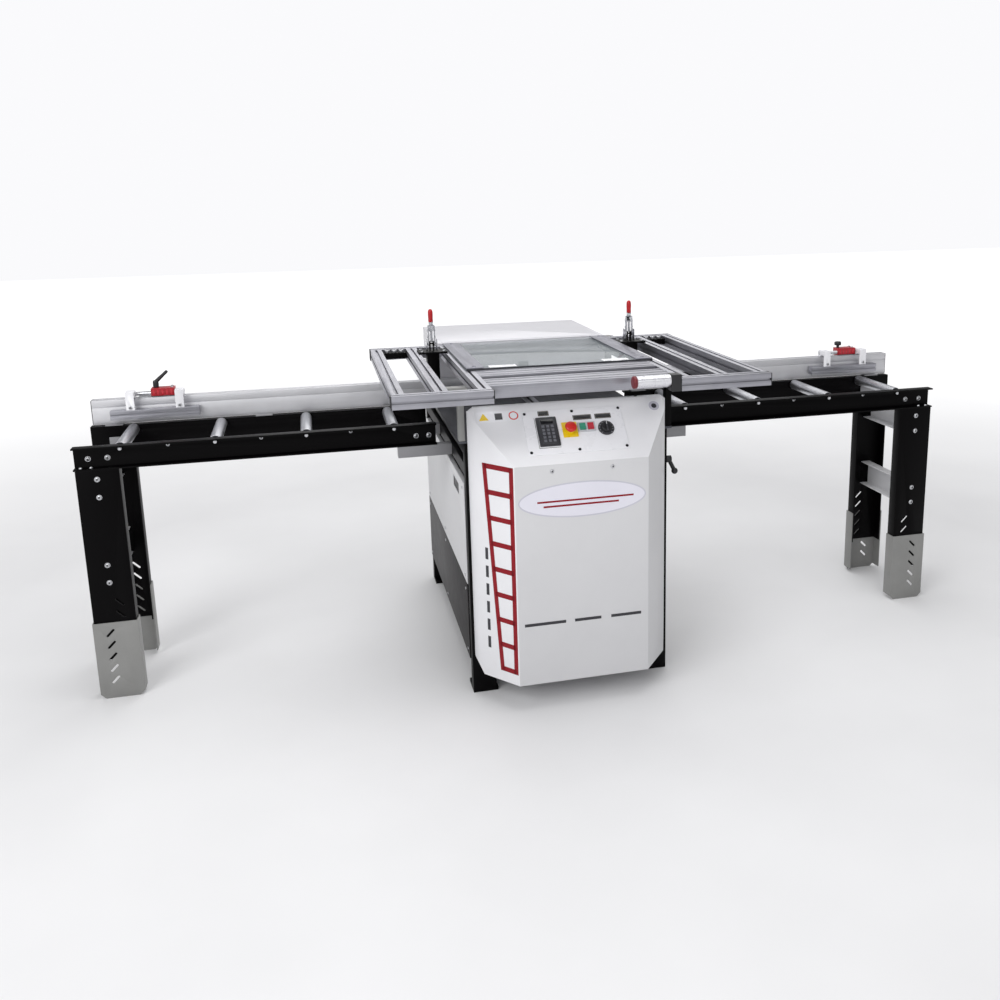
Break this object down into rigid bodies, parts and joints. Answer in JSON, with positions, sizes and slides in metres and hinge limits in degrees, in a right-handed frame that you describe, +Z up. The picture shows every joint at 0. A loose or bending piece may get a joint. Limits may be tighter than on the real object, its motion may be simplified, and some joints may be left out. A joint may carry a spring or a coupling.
{
  "type": "crosscut saw",
  "caption": "Through-feed crosscut saw: under-table blade on a travelling carriage, roller outriggers, fence with flip stops and a lift-up guard frame with hold-down clamps.",
  "frame": {"origin": "middle of the machine's overall box, on the floor", "axes": "+X along the fence to the operator's right, +Y from the operator towards the fence and the rear hood, +Z up"},
  "size_m": [3.18, 1.49, 1.267],
  "materials": {
    "frame_black": "satin black powder coat",
    "cover_grey": "light grey powder coat",
    "hood_white": "off-white powder coat",
    "leg_grey": "grey powder coat",
    "motor_paint": "satin enamel",
    "table_steel": "ground steel",
    "zinc": "zinc plated",
    "blade_steel": "ground saw steel",
    "alu": "clear anodised extrusion",
    "fence_alu": "anodised extrusion",
    "clear_sheet": "clear polycarbonate",
    "dark_plastic": "moulded, matte",
    "white_plate": "laminated plate",
    "red_plastic": "moulded red",
    "red_block": "red anodised look enamel",
    "yellow_plastic": "moulded yellow",
    "green_plastic": "moulded green",
    "belt_rubber": "ribbed rubber",
    "clamp_steel": "bright plated"
  },
  "bodies": {
    "base": {"base_frame": "frame_black", "front_cover": "cover_grey", "body_panels": "hood_white", "dust_port": "dark_plastic", "control_box": "leg_grey", "control_plate": "white_plate", "control_bezels": "dark_plastic", "label_plates": "dark_plastic", "keypad": "dark_plastic", "estop_base": "yellow_plastic", "fasteners": "zinc", "table_plate": "table_steel", "table_insert": "alu", "rear_hood": "hood_white", "guard_posts": "leg_grey", "fence_beams": "fence_alu", "steel_brackets": "leg_grey", "roller_rails": "frame_black", "roller_axles": "zinc", "upper_legs": "frame_black", "lower_legs": "leg_grey", "leg_braces": "leg_grey", "saw_rails": "zinc"},
    "guard": {"wing_left": "alu", "wing_right": "alu", "centre_bars": "alu", "guard_sheet": "clear_sheet", "sheet_strips": "dark_plastic", "end_caps": "dark_plastic", "lift_grip": "alu", "clamp_bases": "frame_black"},
    "clamp_handle_left": {"clamp_handle_left": "clamp_steel"},
    "clamp_handle_right": {"clamp_handle_right": "clamp_steel"},
    "clamp_plunger_left": {"clamp_plunger_left": "clamp_steel"},
    "clamp_plunger_right": {"clamp_plunger_right": "clamp_steel"},
    "stop_left": {"stop_carriage_left": "red_block"},
    "stop_bar_left": {"stop_bar_left": "alu"},
    "stop_lever_left": {"stop_lever_left": "dark_plastic"},
    "stop_right": {"stop_carriage_right": "red_block"},
    "stop_bar_right": {"stop_bar_right": "alu"},
    "stop_knob_right": {"stop_knob_right": "dark_plastic"},
    "saw_carriage": {"saw_deck": "leg_grey", "saw_motor": "motor_paint", "drive_belt": "belt_rubber"},
    "blade": {"arbor": "zinc", "saw_blade": "blade_steel"},
    "motor_rotor": {"motor_pulley": "zinc"},
    "estop_button": {"estop_button": "red_plastic"},
    "start_button": {"start_button": "green_plastic"},
    "stop_button": {"stop_button": "red_plastic"},
    "speed_knob": {"speed_knob": "dark_plastic"},
    "side_lever": {"side_lever": "dark_plastic"},
    "roller_1": {"roller_1": "zinc"},
    "roller_2": {"roller_2": "zinc"},
    "roller_3": {"roller_3": "zinc"},
    "roller_4": {"roller_4": "zinc"},
    "roller_5": {"roller_5": "zinc"},
    "roller_6": {"roller_6": "zinc"},
    "roller_7": {"roller_7": "zinc"},
    "roller_8": {"roller_8": "zinc"}
  },
  "joints": [
    {"name": "guard_lift", "type": "hinge", "parent": "base", "child": "guard", "pos_m": [0, 0.245, 1.094], "axis": [-1, 0, 0], "range_deg": [0, 60]},
    {"name": "clamp_handle_left", "type": "hinge", "parent": "guard", "child": "clamp_handle_left", "pos_m": [-0.38, 0.052, 1.14], "axis": [1, 0, 0], "range_deg": [0, 80]},
    {"name": "clamp_plunger_left", "type": "slide", "parent": "guard", "child": "clamp_plunger_left", "axis": [0, 0, 1], "range_m": [0, 0.024]},
    {"name": "stop_slide_left", "type": "slide", "parent": "base", "child": "stop_left", "axis": [1, 0, 0], "range_m": [-0.06, 0.59]},
    {"name": "stop_flip_left", "type": "hinge", "parent": "stop_left", "child": "stop_bar_left", "pos_m": [-1.366, 0.195, 0.992], "axis": [-1, 0, 0], "range_deg": [0, 135]},
    {"name": "clamp_handle_right", "type": "hinge", "parent": "guard", "child": "clamp_handle_right", "pos_m": [0.38, 0.052, 1.14], "axis": [1, 0, 0], "range_deg": [0, 80]},
    {"name": "clamp_plunger_right", "type": "slide", "parent": "guard", "child": "clamp_plunger_right", "axis": [0, 0, 1], "range_m": [0, 0.024]},
    {"name": "stop_slide_right", "type": "slide", "parent": "base", "child": "stop_right", "axis": [1, 0, 0], "range_m": [-0.59, 0.06]},
    {"name": "stop_flip_right", "type": "hinge", "parent": "stop_right", "child": "stop_bar_right", "pos_m": [1.366, 0.195, 0.992], "axis": [-1, 0, 0], "range_deg": [0, 135]},
    {"name": "stop_lever_left", "type": "hinge", "parent": "stop_left", "child": "stop_lever_left", "pos_m": [-1.362, 0.207, 1.0095], "axis": [0, 0, 1], "range_deg": [0, 80]},
    {"name": "stop_knob_right", "type": "hinge", "parent": "stop_right", "child": "stop_knob_right", "pos_m": [1.364, 0.207, 1.0095], "axis": [0, 0, 1], "range_deg": [-180, 180]},
    {"name": "saw_travel", "type": "slide", "parent": "base", "child": "saw_carriage", "axis": [0, -1, 0], "range_m": [0, 0.62]},
    {"name": "blade_spin", "type": "hinge", "parent": "saw_carriage", "child": "blade", "pos_m": [0, 0.405, 0.8], "axis": [1, 0, 0], "continuous": true},
    {"name": "motor_spin", "type": "hinge", "parent": "saw_carriage", "child": "motor_rotor", "pos_m": [0.175, 0.405, 0.4], "axis": [1, 0, 0], "continuous": true},
    {"name": "estop_push", "type": "slide", "parent": "base", "child": "estop_button", "axis": [0, 0.72, -0.694], "range_m": [0, 0.005], "stiffness_N_per_m": 600},
    {"name": "start_push", "type": "slide", "parent": "base", "child": "start_button", "axis": [0, 0.72, -0.694], "range_m": [0, 0.003], "stiffness_N_per_m": 400},
    {"name": "stop_push", "type": "slide", "parent": "base", "child": "stop_button", "axis": [0, 0.72, -0.694], "range_m": [0, 0.003], "stiffness_N_per_m": 400},
    {"name": "speed_turn", "type": "hinge", "parent": "base", "child": "speed_knob", "pos_m": [0.102, -0.56741, 0.92671], "axis": [0, -0.72, 0.694], "range_deg": [0, 270]},
    {"name": "side_lever_turn", "type": "hinge", "parent": "base", "child": "side_lever", "pos_m": [0.36, -0.447, 0.769], "axis": [1, 0, 0], "range_deg": [0, 60]},
    {"name": "roller_1_spin", "type": "hinge", "parent": "base", "child": "roller_1", "pos_m": [-1.446, 0.026, 0.87], "axis": [0, 1, 0], "continuous": true},
    {"name": "roller_2_spin", "type": "hinge", "parent": "base", "child": "roller_2", "pos_m": [-1.146, 0.026, 0.87], "axis": [0, 1, 0], "continuous": true},
    {"name": "roller_3_spin", "type": "hinge", "parent": "base", "child": "roller_3", "pos_m": [-0.846, 0.026, 0.87], "axis": [0, 1, 0], "continuous": true},
    {"name": "roller_4_spin", "type": "hinge", "parent": "base", "child": "roller_4", "pos_m": [-0.546, 0.026, 0.87], "axis": [0, 1, 0], "continuous": true},
    {"name": "roller_5_spin", "type": "hinge", "parent": "base", "child": "roller_5", "pos_m": [0.546, 0.026, 0.87], "axis": [0, 1, 0], "continuous": true},
    {"name": "roller_6_spin", "type": "hinge", "parent": "base", "child": "roller_6", "pos_m": [0.846, 0.026, 0.87], "axis": [0, 1, 0], "continuous": true},
    {"name": "roller_7_spin", "type": "hinge", "parent": "base", "child": "roller_7", "pos_m": [1.146, 0.026, 0.87], "axis": [0, 1, 0], "continuous": true},
    {"name": "roller_8_spin", "type": "hinge", "parent": "base", "child": "roller_8", "pos_m": [1.446, 0.026, 0.87], "axis": [0, 1, 0], "continuous": true}
  ],
  "couplings": [
    {"joint": "clamp_plunger_left", "follows": "clamp_handle_left", "m_per_rad": 0.0171},
    {"joint": "clamp_plunger_right", "follows": "clamp_handle_right", "m_per_rad": 0.0171},
    {"joint": "motor_spin", "follows": "blade_spin", "ratio": 0.72727}
  ]
}
